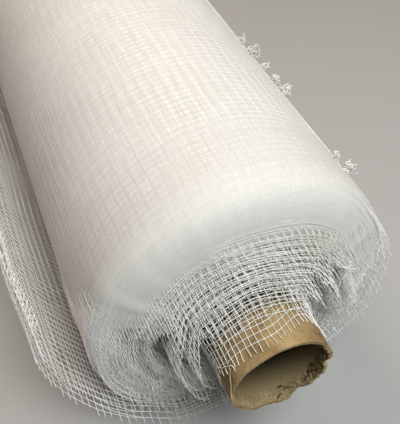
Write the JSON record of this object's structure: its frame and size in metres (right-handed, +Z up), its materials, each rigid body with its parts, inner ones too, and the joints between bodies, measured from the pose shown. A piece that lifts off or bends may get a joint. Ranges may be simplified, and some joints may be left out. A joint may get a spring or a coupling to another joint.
{
  "type": "roll of insulation netting",
  "caption": "Roll of open scrim netting wound on a hollow cardboard tube, its slipped end coned and its last turn worked loose, lying on its side.",
  "frame": {"origin": "on the floor, at the middle of the flat that the roll rests on, half way along the tube and below its axis", "axes": "+Y along the tube from the slipped, coned end to the far end; +Z up; the loose free end lies on the -X side"},
  "size_m": [0.3138, 1.34, 0.2578],
  "materials": {
    "cardboard_tube": "matt spiral-wound kraft board with a crushed, torn rim",
    "wound_netting": "off-white open scrim netting, many turns deep",
    "loose_netting": "off-white open scrim netting, one layer"
  },
  "bodies": {
    "root": {"core_tube": "cardboard_tube", "net_roll": "wound_netting", "loose_turn": "loose_netting"}
  },
  "joints": []
}
